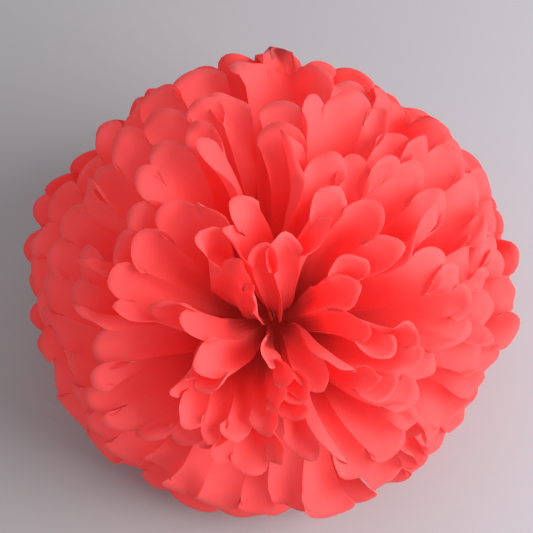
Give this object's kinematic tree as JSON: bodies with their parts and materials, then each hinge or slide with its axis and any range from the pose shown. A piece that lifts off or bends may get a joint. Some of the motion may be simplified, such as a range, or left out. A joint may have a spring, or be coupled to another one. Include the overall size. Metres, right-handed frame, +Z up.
{
  "type": "tissue paper pom pom",
  "caption": "Tissue paper pom pom: pleated sheets tied round the middle with wire and fluffed out into a ball of round-ended petals, resting on a table with its crown leaning forward.",
  "frame": {"origin": "centre of the bottom of the ball's bounding box, on the table", "axes": "+Z up, the viewer at -Y, the crown leaning forward to -Y"},
  "size_m": [0.3012, 0.2873, 0.2335],
  "materials": {
    "tissue_sheet_1": "matte coral red tissue paper",
    "tissue_sheet_2": "matte coral red tissue paper",
    "tissue_sheet_3": "matte coral red tissue paper",
    "tissue_sheet_4": "matte coral red tissue paper",
    "tissue_sheet_5": "matte coral red tissue paper",
    "tissue_sheet_6": "matte coral red tissue paper",
    "tissue_sheet_7": "matte coral red tissue paper",
    "tissue_sheet_8": "matte coral red tissue paper",
    "tie_wire": "satin green floral wire"
  },
  "bodies": {
    "root": {"tissue_sheet_1": "tissue_sheet_1", "tissue_sheet_2": "tissue_sheet_2", "tissue_sheet_3": "tissue_sheet_3", "tissue_sheet_4": "tissue_sheet_4", "tissue_sheet_5": "tissue_sheet_5", "tissue_sheet_6": "tissue_sheet_6", "tissue_sheet_7": "tissue_sheet_7", "tissue_sheet_8": "tissue_sheet_8", "tie_wire": "tie_wire"}
  },
  "joints": []
}
